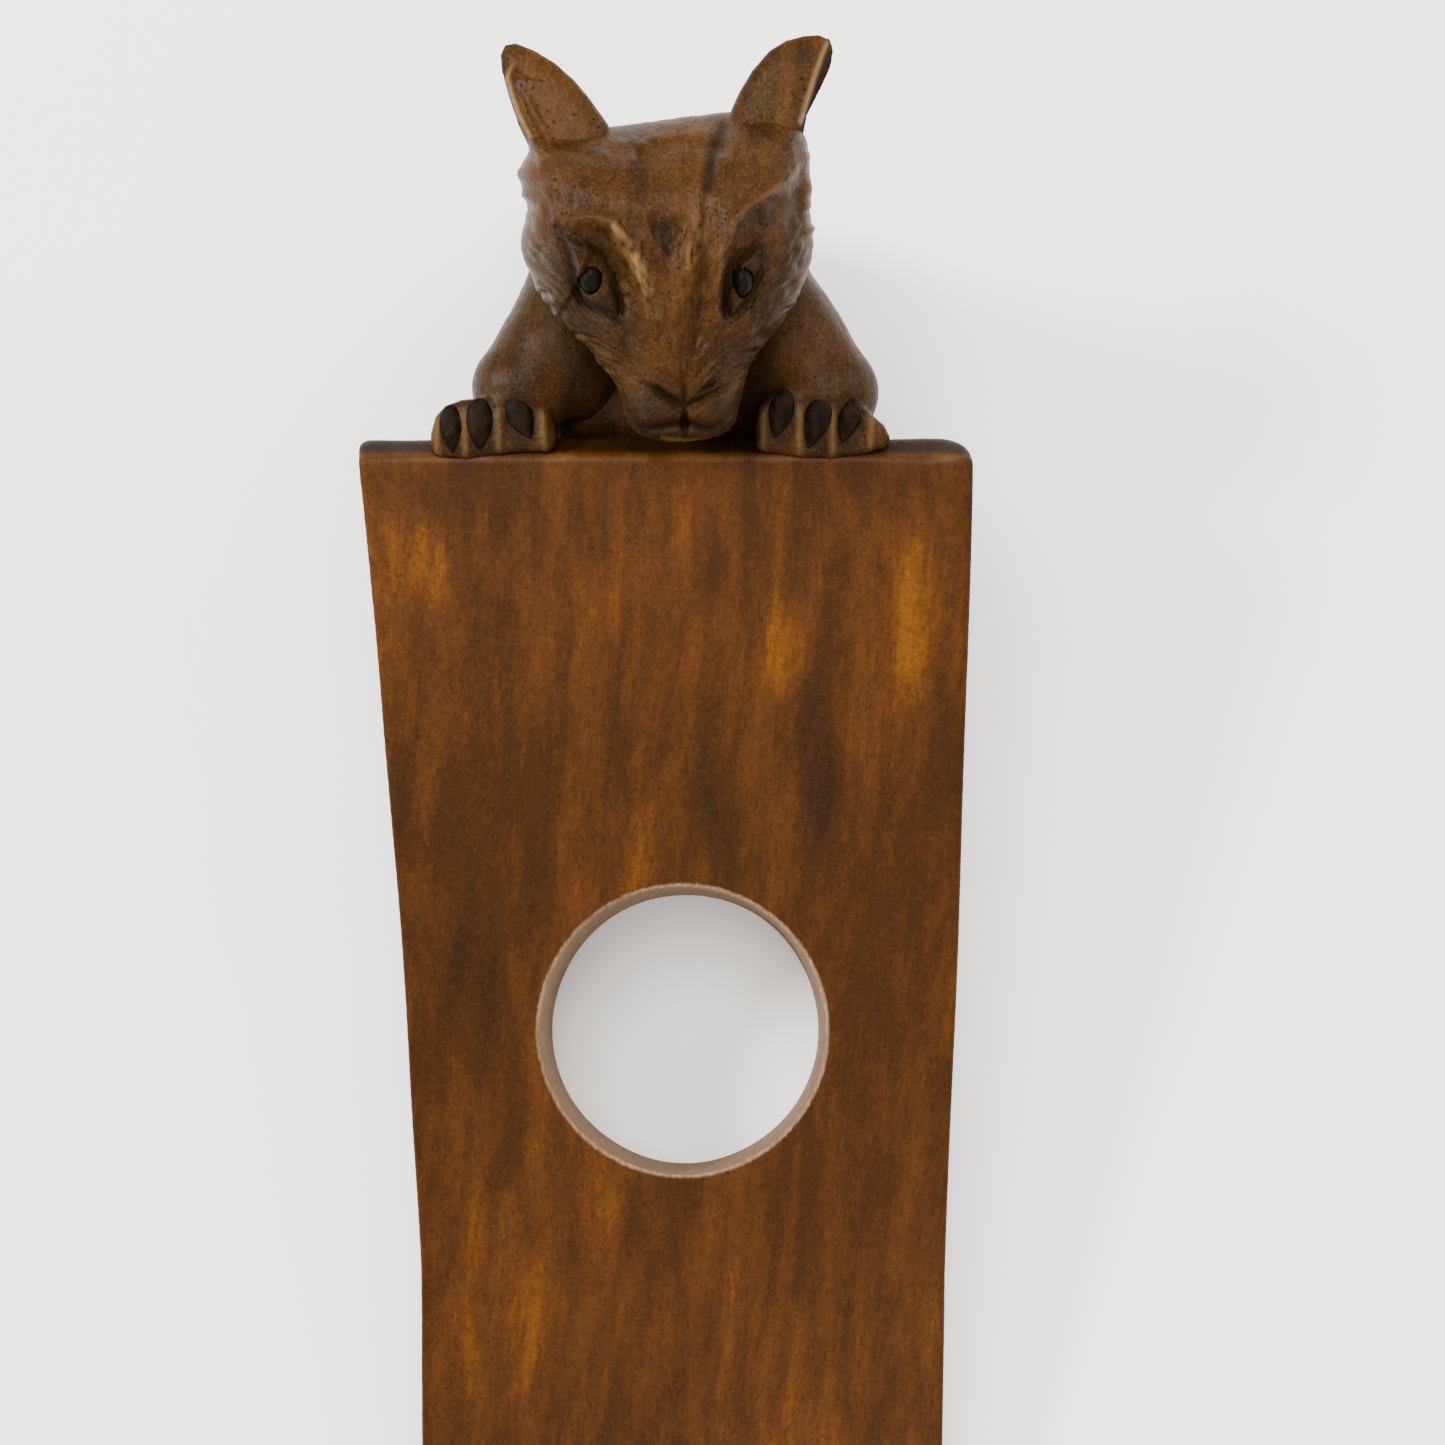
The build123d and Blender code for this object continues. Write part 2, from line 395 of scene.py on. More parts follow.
# Down the face, from chin to crown: how far out the middle lies, how far the back lies
# behind the rim, and how wide the rounded border is. RIM_W is how far out the rim lies.
FRONT_TOP = ((-24, 5.6), (-20, 7.2), (-14, 8.8), (-8, 10.6), (-2, 12.6), (4, 13.6), (8, 13.3),
             (12, 11.4), (15, 8.6), (18, 5.2), (20, 3.4))
BACK_TOP = ((-24, 5.5), (-16, 7.5), (-8, 11.0), (0, 14.0), (8, 14.5), (14, 12.0), (20, 7.0))
ROUNDING = ((-24, 2.0), (-20, 3.2), (-17, 5.0), (-12, 6.8), (-6, 9.6), (0, 11.5), (8, 11.5),
            (14, 8.5), (20, 5.5))
RIM_W = -1.0

BROW_LEFT = curve(((-18.0, 6.5, 0.1), (-13.0, 5.5, 0.15), (-9.0, 5.5, 0.6), (-6.0, 4.0, 1.0),
                   (-3.0, -1.0, 1.0), (-1.0, -7.5, 0.0)))
BROW_RIGHT = curve(((18.5, 14.0, 0.2), (15.0, 10.0, 0.85), (10.0, 6.5, 1.0), (7.5, 2.0, 0.9),
                    (6.5, -4.0, 0.6), (7.0, -9.0, 0.0)))
PANEL = curve(((-4.5, 13.5), (-3.0, 6.5), (0.5, 0.0), (4.0, 4.5), (5.5, 11.5), (6.5, 15.5),
               (0.0, 16.5)), closed=True)
PANEL_LINE = curve(((7.5, 17.0, 0.4), (6.0, 13.0, 1.0), (5.0, 7.0, 0.9), (4.5, 0.0, 0.8),
                    (4.0, -7.0, 0.75), (2.0, -14.5, 0.2)))
V_NOTCH = ((-3.0, 6.0), (2.5, 6.0), (2.0, 2.5), (0.5, -0.5), (-1.5, 2.0))
BRIDGE = curve(((2.0, 0.5, 0.2), (1.5, -4.0, 1.0), (1.5, -8.5, 1.0), (2.5, -14.0, 0.3)))
RIGHT_GLINT = curve(((4.5, 5.0, 0.3), (3.5, 2.0, 1.0), (2.5, -2.0, 0.0)))
CHEEK_LINE = curve(((-6.0, -6.5, 0.0), (-5.0, -10.5, 1.0), (-3.5, -15.0, 0.3)))
CHEEK_RIGHT = curve(((8.5, -7.0, 0.0), (9.0, -11.0, 0.9), (8.0, -15.0, 0.4)))
TEMPLE_CUT = curve(((-19.5, 13.5, 1.0), (-16.5, 14.5, 0.8), (-13.0, 14.0, 0.0)))
EAR_CREASES = (curve(((-16.5, 16.0, 0.4), (-13.5, 15.0, 1.0), (-7.5, 17.0, 0.3))),
               curve(((8.0, 17.5, 0.0), (12.5, 17.0, 0.5), (17.0, 15.0, 0.2))))
NOSE_LINES = (((2.5, -14.0, 0.2), (2.5, -18.0, 1.0), (2.5, -22.5, 1.0)),
              curve(((2.5, -18.0, 1.0), (0.0, -16.5, 1.0), (-3.0, -15.0, 0.4))),
              curve(((2.5, -18.0, 1.0), (5.5, -16.5, 0.85), (9.0, -15.0, 0.4))),
              curve(((0.5, -17.0, 0.4), (-0.5, -16.0, 1.0), (-1.5, -15.5, 0.4))),
              curve(((4.5, -16.5, 0.4), (5.5, -15.5, 1.0), (6.5, -15.0, 0.4))))
LOBES = (curve(((-5.0, -17.0), (-1.0, -16.5), (2.0, -19.0), (1.5, -21.5), (-3.0, -21.5)), closed=True),
         curve(((3.0, -19.0), (7.0, -16.0), (9.5, -17.5), (8.0, -21.0), (3.5, -21.5)), closed=True))
MOUTH = curve(((-4.5, -19.0, 0.5), (-2.5, -21.0, 0.9), (2.5, -20.0, 1.0), (6.0, -21.0, 1.0),
               (9.0, -18.5, 0.5)))
ALMOND = {
    "left_eye": curve(((-13.0, 4.0), (-11.5, -2.0), (-9.0, -6.0), (-6.0, -6.5), (-6.0, -2.5),
                       (-8.5, 2.0)), closed=True),
    "right_eye": curve(((11.5, 2.0), (8.5, 0.0), (7.5, -4.0), (8.5, -6.5), (11.0, -4.0), (12.0, -0.5)),
                       closed=True)}
LID_LINES = {
    "left_eye": (curve(((-13.5, 4.5, 0.5), (-12.0, 1.0, 1.0), (-10.5, -4.5, 1.0), (-6.5, -6.5, 0.9),
                        (-4.5, -8.5, 0.2))),
                 curve(((-13.0, 4.0, 0.6), (-8.0, 1.5, 0.25), (-6.0, -2.5, 0.35), (-5.5, -6.0, 0.6)))),
    "right_eye": (curve(((12.0, 3.0, 0.2), (12.0, -1.0, 0.7), (10.0, -5.5, 0.8), (7.0, -8.0, 0.3))),
                  curve(((11.5, 2.0, 0.6), (8.5, 0.0, 0.9), (7.5, -4.5, 1.0), (8.0, -6.5, 0.8))))}
# centre of each inlaid eye on the face, and its half width and height
EYES = {"left_eye": (-9.3, -1.5, 1.6, 2.1), "right_eye": (9.8, -2.0, 1.4, 2.1)}
EYE_DEPTH, EYE_PROUD, EYE_GAP = 1.9, 0.55, 0.12     # half depth, height above the face, gap round it


def crease(u, v, points, width):
    """A line drawn over the face: its strength along it, dying away to both sides."""
    d, _, power = line_distance(u, v, points)
    return power * bell(d, width)


def hollow_beside(side, reach):
    """0 at a line, 1 at the reach on its right, dying away beyond."""
    s = np.clip(side / reach, 0, None)
    return s * np.exp(1.0 - s)


def dome(u, v, outline, width):
    """0 at an outline, rounding up to 1 at width inside it."""
    t = 1.0 - fade(leaf_distance(u, v, outline), 0, -width)
    return np.sqrt(1.0 - t * t)


def carve(u, v):
    """Height carved on to the face, and how dark its cuts are: stain, with painted shade in the notch,
    the panel line and the creases.
    """
    _, side, power = line_distance(u, v, BROW_LEFT)
    brow_l = power * (1.3 * bell(side + 0.2, 1.2) - 2.6 * hollow_beside(side, 3.2))
    _, side, power = line_distance(u, v, BROW_RIGHT)
    brow_r = power * (1.1 * bell(side - 0.2, 0.9) - 2.9 * hollow_beside(-side, 2.8))
    h = soften(brow_l + brow_r, 6)
    panel = fade(leaf_distance(u, v, PANEL), 0, -1.8)
    h = h - 0.7 * panel * panel * (3 - 2 * panel)
    notch = soften(fade(leaf_distance(u, v, V_NOTCH), 0, -1.4), 50)
    line = crease(u, v, PANEL_LINE, 0.85)
    h = h - 0.6 * notch - 0.85 * line
    h = h + 0.9 * crease(u, v, BRIDGE, 1.5) + 0.7 * crease(u, v, RIGHT_GLINT, 0.8)
    cheeks = crease(u, v, CHEEK_LINE, 1.3) + crease(u, v, CHEEK_RIGHT, 1.2)
    temple = crease(u, v, TEMPLE_CUT, 0.7)
    roots = crease(u, v, EAR_CREASES[0], 0.8) + crease(u, v, EAR_CREASES[1], 1.0)
    h = h - 0.6 * cheeks - 0.9 * temple - 0.7 * roots
    nose = np.maximum.reduce([crease(u, v, points, 0.5) for points in NOSE_LINES])
    for lobe in LOBES:
        h = h + 0.9 * dome(u, v, lobe, 1.9)
    mouth = crease(u, v, MOUTH, 0.8)
    h = h - 1.1 * nose - 1.8 * mouth
    # Darkness of the cuts: stain along the cut lines, with painted shade in the V notch, down the
    # panel line and in the creases.
    stain_and_shade = [0.9 * notch, 0.55 * line, 0.3 * cheeks, 0.5 * temple, 0.45 * roots, nose, mouth]
    return h, np.maximum.reduce(stain_and_shade)


def eye_carving(u, v, name):
    """Height of one eye's swelling and lids, and how dark its cut lines are."""
    ball = dome(u, v, ALMOND[name], 2.7)
    cut = np.maximum.reduce([crease(u, v, points, 0.65) for points in LID_LINES[name]])
    lid = crease(u, v, LID_LINES[name][0], 1.7) * (1 - ball)
    return (1.5 if name == "left_eye" else 1.1) * ball - 1.25 * cut + 0.5 * lid, cut


def draw_face():
    """Sheets of nearness to the rim (0 inside, 1 there), of carved height and of darkness: stain in
    the cuts, with painted shade in the cuts and hollows.
    """
    line = SHEET_LOW + SHEET_STEP * np.arange(SHEET_SIZE)
    u, v = np.meshgrid(line, line, indexing="ij")
    rim = leaf_distance(u, v, OUTLINE)
    t = np.clip(1.0 + rim / along(v, ROUNDING), 0, None)
    blend = fade(rim, -2.0, -5.0)
    t = t * (1 - blend) + soften(t, 60) * blend
    rise, dark = carve(u, v)
    rise = rise * fade(rim, 0, -1.8)
    for name in EYES:
        eye, cut = eye_carving(u, v, name)
        rise = rise + eye
        dark = np.maximum(dark, cut)
    # Painted shadow along the upper part of the panel line.
    streak = line_distance(u, v, PANEL_LINE)[0]
    dark = np.maximum(dark, 0.85 * bell(streak, 1.05) * fade(v, 6.5, 9.5))
    # Painted shade in the carving's hollows, deeper where they lie further below their surroundings.
    hollow = np.clip((soften(rise, 200) - rise) * 0.4, 0, 0.5) * blend
    return t, rise, np.maximum(dark, hollow)


SPREAD, RISE, STAIN_AND_SHADE = draw_face()


def head_shape(f):
    """Head without its inlaid eyes, at points (u, v, w)."""
    u, v, w = f
    q = w - RIM_W
    front = (q - fade(q, 0, 3) * read_sheet(RISE, u, v)) / (along(v, FRONT_TOP) - RIM_W)
    q = np.where(q > 0, front, q / along(v, BACK_TOP))
    return (np.hypot(read_sheet(SPREAD, u, v), q) - 1.0) * 7.0


def face_height(u, v):
    """How far out the face lies at one place."""
    w = np.linspace(24.0, 0.0, 961)
    inside = head_shape((np.full_like(w, u), np.full_like(w, v), w)) < 0
    return w[np.argmax(inside)]


EYE_AT = {name: (u, v, face_height(u, v) + EYE_PROUD - EYE_DEPTH)
          for name, (u, v, _, _) in EYES.items()}


def head_field(p):
    f = to_face(p)
    d = head_shape(f)
    for name, centre in EYE_AT.items():
        half_u, half_v = EYES[name][2:]
        d = smax(d, -ell(f, centre, (half_u + EYE_GAP, half_v + EYE_GAP, EYE_DEPTH)), 0.15)
    return d


def strokes(a, b, seed):
    """Hair-like ridges: long in a, narrow in b."""
    n = value_noise(a, b, a * 0 + seed, seed)
    m = value_noise(a * 0.8 + 9.0, b * 1.7, a * 0 + seed, seed + 1)
    return 0.65 * n + 0.35 * m


NOSE_AT, COMB_RADIUS = (2.2, -17.0), 16.0


def comb(u, v):
    """Which way the fur lies: distance from the nose and angle about it, in millimetres."""
    du, dv = u - NOSE_AT[0], v - NOSE_AT[1]
    return np.hypot(du, dv), np.arctan2(dv, du) * COMB_RADIUS


def head_relief(p):
    u, v, w = to_face(p)
    r, a = comb(u, v)
    fur = strokes(r / 1.5 + 0.3 * np.sin(a * 1.3), a / 0.55 + 0.6 * np.sin(r / 1.5), 11)
    panel = bell(u - 2.0, 3.4) * fade(v, 6.0, 9.0)
    calm = np.maximum.reduce([panel, fade(v, 14.5, 16.5), fade(v, -14.0, -15.5)])
    almond = sum(fade(leaf_distance(u, v, ALMOND[name]), 0, -1) for name in ALMOND)
    knife = value_noise(u / 2.4, v / 2.4, w / 2.4, 41) * 0.05
    return fur * 0.34 * (1 - 0.8 * calm) * (1 - almond) + knife


def socket_shade(u, v):
    """Painted shade in almonds round the eyes, lighter in a ring round the left one."""
    stain = u * 0
    for name, (eu, ev, half_u, half_v) in EYES.items():
        almond = fade(leaf_distance(u, v, ALMOND[name]), 0.48, -0.32)
        from_eye = np.hypot((u - eu) / (half_u + 0.6), (v - ev) / (half_v + 0.6))
        depth = 0.74 * np.clip((from_eye - 0.9) * 3, 0.4, 1) if name == "left_eye" else 0.72
        stain = np.maximum(stain, almond * depth)
    return stain


# ridges given a painted highlight: the line, how wide the highlight is and how strong
RIDGE_HIGHLIGHT_LINES = ((BROW_LEFT, 0.8, 0.7), (BROW_RIGHT, 0.5, 0.15), (RIGHT_GLINT, 0.7, 0.45))


def painted_ridge_highlights(u, v, hair):
    """Painted highlights in tufts along the brows and beside the bridge of the nose."""
    tufts = np.clip(0.55 + 0.9 * hair, 0, 1)
    painted_highlight = u * 0
    for ridge, width, strength in RIDGE_HIGHLIGHT_LINES:
        d, _, power = line_distance(u, v, ridge)
        painted_highlight = np.maximum(painted_highlight, strength * np.clip(power, 0, 1) * bell(d, width) * tufts)
    return painted_highlight * fade(u, -8.5, -5.5)


def head_paint(p):
    u, v, w = to_face(p)
    r, a = comb(u, v)
    hair = strokes(r / 1.1, a / 0.5, 61)
    front = fade(w, -1.5, 1.5)
    muzzle = fade(v, -18.5, -19.5) * fade(w, -7.0, -4.0)
    # Stain and painted shade of the cuts, read from the sheet.
    cuts = read_sheet(STAIN_AND_SHADE, u, v) * np.maximum(front, muzzle)
    # Painted shade on the cheeks, which lie darker than the forehead.
    cheeks = 0.3 * fade(v, 6.0, 0.0) * fade(np.abs(u - 1.0), 7.0, 13.0)
    furred = fade(v, 16.5, 14.5) * fade(v, -15.0, -13.0) * front
    mottle = 0.32 * np.clip(-1.6 * hair, 0, 1) * furred * (1 - cuts)
    dark = np.maximum(cuts, cheeks * front) + mottle
    patch = 0.35 * bell(u + 2.8, 1.5) * bell(v - 10.5, 3.4)
    lips = 0.5 * fade(v, -15.4, -16.9) * fade(w, -6.0, -3.0)
    dark = np.maximum.reduce([dark, patch, lips, socket_shade(u, v)])
    # Painted highlight along the lower lip's edge, which also clears the dark there.
    lip_edge = bell(v + 22.75 - 0.03 * (u - 4.0) ** 2, 0.35) * (np.abs(u - 4.0) < 4.5) * (w > -1.0)
    # Painted highlights along the brows and beside the bridge of the nose.
    painted_highlight = painted_ridge_highlights(u, v, hair) * front
    return {"dark": np.clip(dark * (1 - lip_edge), 0, 1), "rim": np.maximum(0.22 * lip_edge, painted_highlight),
            "comb_r": r, "comb_a": a}


# Each ear is a leaf drawn in the face plane, with a rim down its outer edge. The left
# one is dished inside the rim, and both are cut away outside it, the right one deeper.
# Tables for left and right are keyed by side, -1 and 1. An axis is an ear's root and tip.
EAR_LEAF = {
    -1: curve(((-6.0, 14.5), (-9.5, 21.0), (-14.0, 25.5), (-19.0, 28.0), (-21.0, 26.5), (-20.0, 21.5),
               (-17.0, 14.0), (-11.0, 11.0)), closed=True, steps=2),
    1: curve(((7.5, 15.0), (9.5, 21.5), (13.5, 27.0), (18.0, 29.0), (21.5, 28.5), (21.5, 25.0),
              (18.5, 19.0), (17.0, 13.5), (12.0, 12.0)), closed=True, steps=2)}
EAR_AXIS = {-1: ((-11.6, 14.0), (-19.0, 27.0)), 1: ((12.4, 14.5), (20.6, 28.0))}
EAR_RIM = {-1: curve(((-19.0, 25.5, 0.0), (-20.0, 23.5, 1.0), (-18.5, 19.0, 1.0), (-17.0, 16.0, 0.8)),
                     steps=2),
           1: curve(((21.0, 28.0, 0.8), (19.5, 24.0, 1.0), (17.5, 18.0, 0.8)), steps=2)}
RIM_CUT = {-1: 0.35, 1: 0.9}
EAR_FOLD = {-1: curve(((-18.0, 22.0, 0.2), (-16.5, 19.0, 1.0), (-14.5, 15.0, 0.4)), steps=2),
            1: curve(((19.0, 27.0, 0.0), (16.5, 20.5, 0.2), (15.5, 16.0, 0.0)), steps=2)}


def ear_lines(u, v, side):
    """Distance to the rim, the same signed, its strength, the fold and the dish inside the rim."""
    d, beside, power = line_distance(u, v, EAR_RIM[side])
    fold = crease(u, v, EAR_FOLD[side], 0.5)
    dish = power * hollow_beside(side * beside, 1.2) * (1 - fold) * (side < 0)
    return d, beside, power, fold, dish


def ear_field(side):
    foot, tip = EAR_AXIS[side]
    du, dv = tip[0] - foot[0], tip[1] - foot[1]

    def field(p):
        u, v, w = to_face(p)
        rise = ((u - foot[0]) * du + (v - foot[1]) * dv) / math.hypot(du, dv)
        d, beside, power, fold, dish = ear_lines(u, v, side)
        cut = RIM_CUT[side] * power * hollow_beside(-side * beside, 0.7)
        carved_up = 0.35 * power * bell(d, 0.35) + 0.45 * fold - cut - 0.5 * dish
        q = w - (1.2 - 0.13 * rise)
        q = np.where(q > 0, q - carved_up, q) / (2.7 - 0.085 * rise)
        edge = np.clip(1.0 + leaf_distance(u, v, EAR_LEAF[side]) / 3.8, 0, None)
        return (np.hypot(edge, q) - 1.0) * 2.0

    return field


def ear_paint(side):
    def paint(p):
        u, v, _ = to_face(p)
        d, beside, power, _, dish = ear_lines(u, v, side)
        # Painted shade in the ear's hollow beyond its rim, deeper on the right ear.
        outer = power * fade(-side * beside, 0, 0.3) * fade(d, 2.2, 1.6)
        # Painted highlight along the rim.
        rim = power * bell(d, 0.3)
        tip = 0.6 * bell(u - 18.0, 2.6) * bell(v - 26.6, 1.9)
        # Painted shade in the crease at the ear's root.
        root = 0.3 * fade(np.abs(v - 15.6), 1.2, 0)
        # Dark: painted shade beyond the rim, in the left ear's dish and at the root, and a darker tip.
        dark = np.maximum.reduce([outer * (0.5 if side < 0 else 0.9), 0.35 * dish, tip, root])
        return {"dark": dark * (1 - rim), "rim": 0.6 * rim}

    return paint


# Centres and radii along each arm, and along the breast that it grows out of.
ARMS = {-1: (((-12.0, 103.0, 41.0), 9.6), ((-16.4, 94.5, 41.6), 7.6), ((-21.8, 88.0, 42.2), 7.0)),
        1: (((8.2, 103.0, 41.0), 9.3), ((13.8, 94.5, 41.4), 8.0), ((19.8, 87.4, 42.0), 7.2))}
BREAST = {-1: (((-8.0, 98.0, 38.0), 7.5), ((-14.0, 90.0, 39.0), 6.0)),
          1: (((4.2, 98.0, 38.0), 7.5), ((10.2, 90.0, 39.0), 6.0))}
# Plan of each paw lying over the block's end, the ridges beside its claws, and each
# claw's centre, half width, half length and lean in degrees.
PAWS = {-1: curve(((-33.5, 78.0), (-34.0, 81.0), (-32.0, 84.5), (-27.0, 85.5), (-19.0, 85.0),
                   (-17.0, 81.0), (-18.0, 78.5), (-22.0, 78.5), (-29.0, 77.5)), closed=True, steps=2),
        1: curve(((10.0, 79.0), (10.5, 84.5), (14.0, 86.5), (22.0, 85.5), (27.5, 82.0), (27.5, 79.0),
                  (20.0, 77.5), (14.0, 78.0)), closed=True, steps=2)}
RIDGES = {-1: (-33.0, -29.2, -24.7, -18.6), 1: (11.0, 15.9, 20.4, 25.6)}
CLAWS = {-1: ((-31.1, 81.2, 1.5, 2.9, 2), (-27.3, 81.8, 1.85, 3.15, 0), (-21.6, 82.6, 1.75, 2.8, 25)),
         1: ((13.4, 83.1, 1.65, 3.05, -14), (18.3, 82.3, 1.9, 3.6, -17), (22.5, 82.2, 1.5, 2.8, -16))}
PAW_SLOPE = 0.26


def paw_top(y):
    return 46.3 + PAW_SLOPE * (y - 78.0)


def forelimb_field(side):
    def field(p):
        x, y, z = p
        d = smin(chain(p, ARMS[side], 3.0), chain(p, BREAST[side], 2.0), 2.0)
        ridge = sum(bell(x - at, 0.9) for at in RIDGES[side])
        top = (z - paw_top(y) - 0.45 * ridge * fade(y, 84.5, 82.5)) * 0.95
        paw = smax(smax(leaf_distance(x, y, PAWS[side]), top, 1.8), 36.0 - z, 1.0)
        d = smin(d, paw, 0.8)
        return smax(d, -block_field(p) + 0.02, 0.1)

    return field


def claw_field(side):
    """Dark almond-shaped claws let into the fingers, a little proud, pointed towards the block."""
    def field(p):
        d = None
        for x, y, half, length, lean in CLAWS[side]:
            q = turned(p, (x, y, paw_top(y) - 0.15), (math.degrees(math.atan(PAW_SLOPE)), 0, lean))
            t = np.clip((q[1] + length) / (2 * length), 0, 1)
            taper = 0.35 + 0.65 * np.clip(t * 1.8, 0, 1) ** 0.6
            c = ell((q[0] / taper, q[1], q[2]), (0, 0, 0), (half * 1.1, length * 1.12, 1.05)) * 0.8
            d = c if d is None else np.minimum(d, c)
        return d

    return field


TAIL = (((0.5, 116.0, 9.5), 7.2), ((-3.0, 123.5, 6.6), 6.1), ((-10.0, 127.0, 5.2), 5.0),
        ((-16.5, 124.0, 4.1), 4.0), ((-20.5, 117.5, 3.2), 2.8))
SPINE_GROOVE = (((-2.2, 124.0, 46.0), 1.0), ((-2.4, 126.6, 22.0), 1.0))
LEG_X, LEG_APART = -2.8, 13.0


def hind_foot(p, cx, side):
    """Foot along the floor with three toes against the block."""
    foot = chain(p, [((cx - side, 107.0, 4.0), 4.2), ((cx, 92.0, 3.8), 4.3), ((cx, 84.0, 3.0), 3.4)])
    for toe in (-1, 0, 1):
        knuckle, end = (cx + toe * 2.5, 88.0, 3.2), (cx + toe * 2.9, 82.2, 2.0)
        foot = smin(foot, rod(p, knuckle, end, 2.0, 1.4), 0.5)
    return foot


def torso_field(p):
    x, y, z = p
    belly = ell(p, (-2.4, 103.0, 20.0), (19.0, 21.5, 23.0))
    chest = ell(p, (-2.0, 103.5, 40.0), (15.4, 15.5, 18.0))
    d = smin(belly, chest, 5.0)
    for side in (-1, 1):
        cx = LEG_X + side * LEG_APART
        d = smin(d, ell(p, (cx, 104.0, 18.0), (7.4, 15.5, 15.5), (0, 0, side * 5)), 1.4)
        d = smin(d, hind_foot(p, cx, side), 0.9)
    d = smin(d, chain(p, TAIL, 2.5), 2.0)
    d = smax(d, -chain(p, SPINE_GROOVE), 2.0)
    throat = rod(p, (-10.0, 90.0, 32.0), (4.0, 90.0, 32.0), 10.5, 10.5)
    d = smin(d, throat, 2.0)
    return smax(smax(d, -z, 0.4), END_Y + 0.05 - y, 0.3)


def body_relief(p):
    x, y, z = p
    around = np.arctan2(x + 2, y - 100) * 18 + 0.4 * np.sin(z / 2.1)
    fur = strokes(z / 3.2 + 0.15 * y, around / 1.1, 23)
    return fur * 0.13 * fade(z, 1.5, 4.5) * (y > END_Y + 0.6)


def smooth_relief(p):
    x, y, z = p
    knife = 0.05 * value_noise(x / 2.2, y / 2.6, z / 2.2, 31)
    return knife + 0.03 * value_noise(x / 0.8, y / 0.9, z / 0.8, 37)


def arm_paint(side):
    def paint(p):
        x, y, z = p
        outward = side * (x + 2.0)
        # Painted shade on the inner side of the arm, towards the chest.
        inner = fade(outward, 24.0, 12.0) * fade(y, 85.0, 88.0)
        # Painted shade in the pit where the arm meets the breast.
        pit = fade(outward, 15.5, 14.0) * fade(y, 97.0, 94.0)
        # Painted shade under the paw, along the block's edge.
        under = 0.6 * fade(y, 81.0, 79.0) * fade(z, 45.6, 44.6)
        # Painted highlight along the ridges between the claws.
        painted_highlight = np.maximum.reduce([bell(x - at, 0.45) for at in RIDGES[side]])
        painted_highlight = painted_highlight * fade(y, 84.6, 83.1) * fade(z, 45.0, 46.0)
        from_claw = np.min([np.hypot((x - cx) / (half + 0.4), (y - cy) / (length + 0.4))
                            for cx, cy, half, length, _ in CLAWS[side]], axis=0)
        seat = np.clip((1.25 - from_claw) * 4, 0, 0.5) * (y < 85.5)
        dark = np.maximum.reduce([0.5 * inner, 0.6 * pit, under, seat * (1 - painted_highlight)])
        return {"dark": dark, "rim": 0.2 * painted_highlight}

    return paint


def torso_paint(p):
    x, y, z = p
    # Painted shade in the hollow under the chin, between the arms.
    hollow = fade(y, 97.0, 93.0) * fade(z, 20.0, 26.0) * (np.abs(x + 2) < 18)
    return {"dark": 0.1 + 0.2 * hollow, "rim": x * 0}


# ---------------------------------------------------------------- materials
class Nodes:
    """Small helper for building a material's node tree."""

    def __init__(self, name):
        self.mat = bpy.data.materials.new(name)
        self.mat.use_nodes = True
        self.tree = self.mat.node_tree
        self.shader = self.tree.nodes["Principled BSDF"]

    def put(self, socket, value):
        if isinstance(value, bpy.types.NodeSocket):
            self.tree.links.new(value, socket)
        else:
            socket.default_value = value

    def add(self, kind, out=0, **inputs):
        node = self.tree.nodes.new(kind)
        for key, value in inputs.items():
            if key.startswith("set_"):
                setattr(node, key[4:], value)
        for key, value in inputs.items():
            if not key.startswith("set_"):
                slot = int(key[1:]) if key[0] == "i" and key[1:].isdigit() else key.replace("_", " ")
                self.put(node.inputs[slot], value)
        return node.outputs[out]

    def math(self, op, a, b=0.0, c=0.0):
        return self.add("ShaderNodeMath", set_operation=op, i0=a, i1=b, i2=c)

    def vector(self, op, a, b):
        return self.add("ShaderNodeVectorMath", set_operation=op, i0=a, i1=b)

    def length(self, a):
        return self.add("ShaderNodeVectorMath", 1, set_operation="LENGTH", i0=a)

    def turn(self, coords, degrees):
        return self.add("ShaderNodeMapping", set_vector_type="POINT", Vector=coords,
                        Rotation=tuple(math.radians(d) for d in degrees))

    def stretch(self, coords, scale, degrees=(0, 0, 0)):
        return self.vector("MULTIPLY", self.turn(coords, degrees), scale)

    def noise(self, coords, detail=3.0, rough=0.55, distortion=0.0):
        return self.add("ShaderNodeTexNoise", Vector=coords, Scale=1.0, Detail=detail,
                        Roughness=rough, Distortion=distortion)

    def step(self, value, low, high, to_low=0.0, to_high=1.0):
        return self.add("ShaderNodeMapRange", set_clamp=True, set_interpolation_type="SMOOTHSTEP",
                        Value=value, From_Min=low, From_Max=high, To_Min=to_low, To_Max=to_high)

    def mix(self, factor, a, b):
        node = self.tree.nodes.new("ShaderNodeMix")
        node.data_type = "RGBA"
        for socket, value in ((node.inputs[0], factor), (node.inputs[6], a), (node.inputs[7], b)):
            self.put(socket, value)
        return node.outputs[2]

    def attribute(self, name):
        node = self.tree.nodes.new("ShaderNodeAttribute")
        node.attribute_name = name
        return node.outputs["Fac"]


def srgb(r, g, b):
    def lin(c):
        c /= 255.0
        return c / 12.92 if c <= 0.04045 else ((c + 0.055) / 1.055) ** 2.4
    return (lin(r), lin(g), lin(b), 1.0)


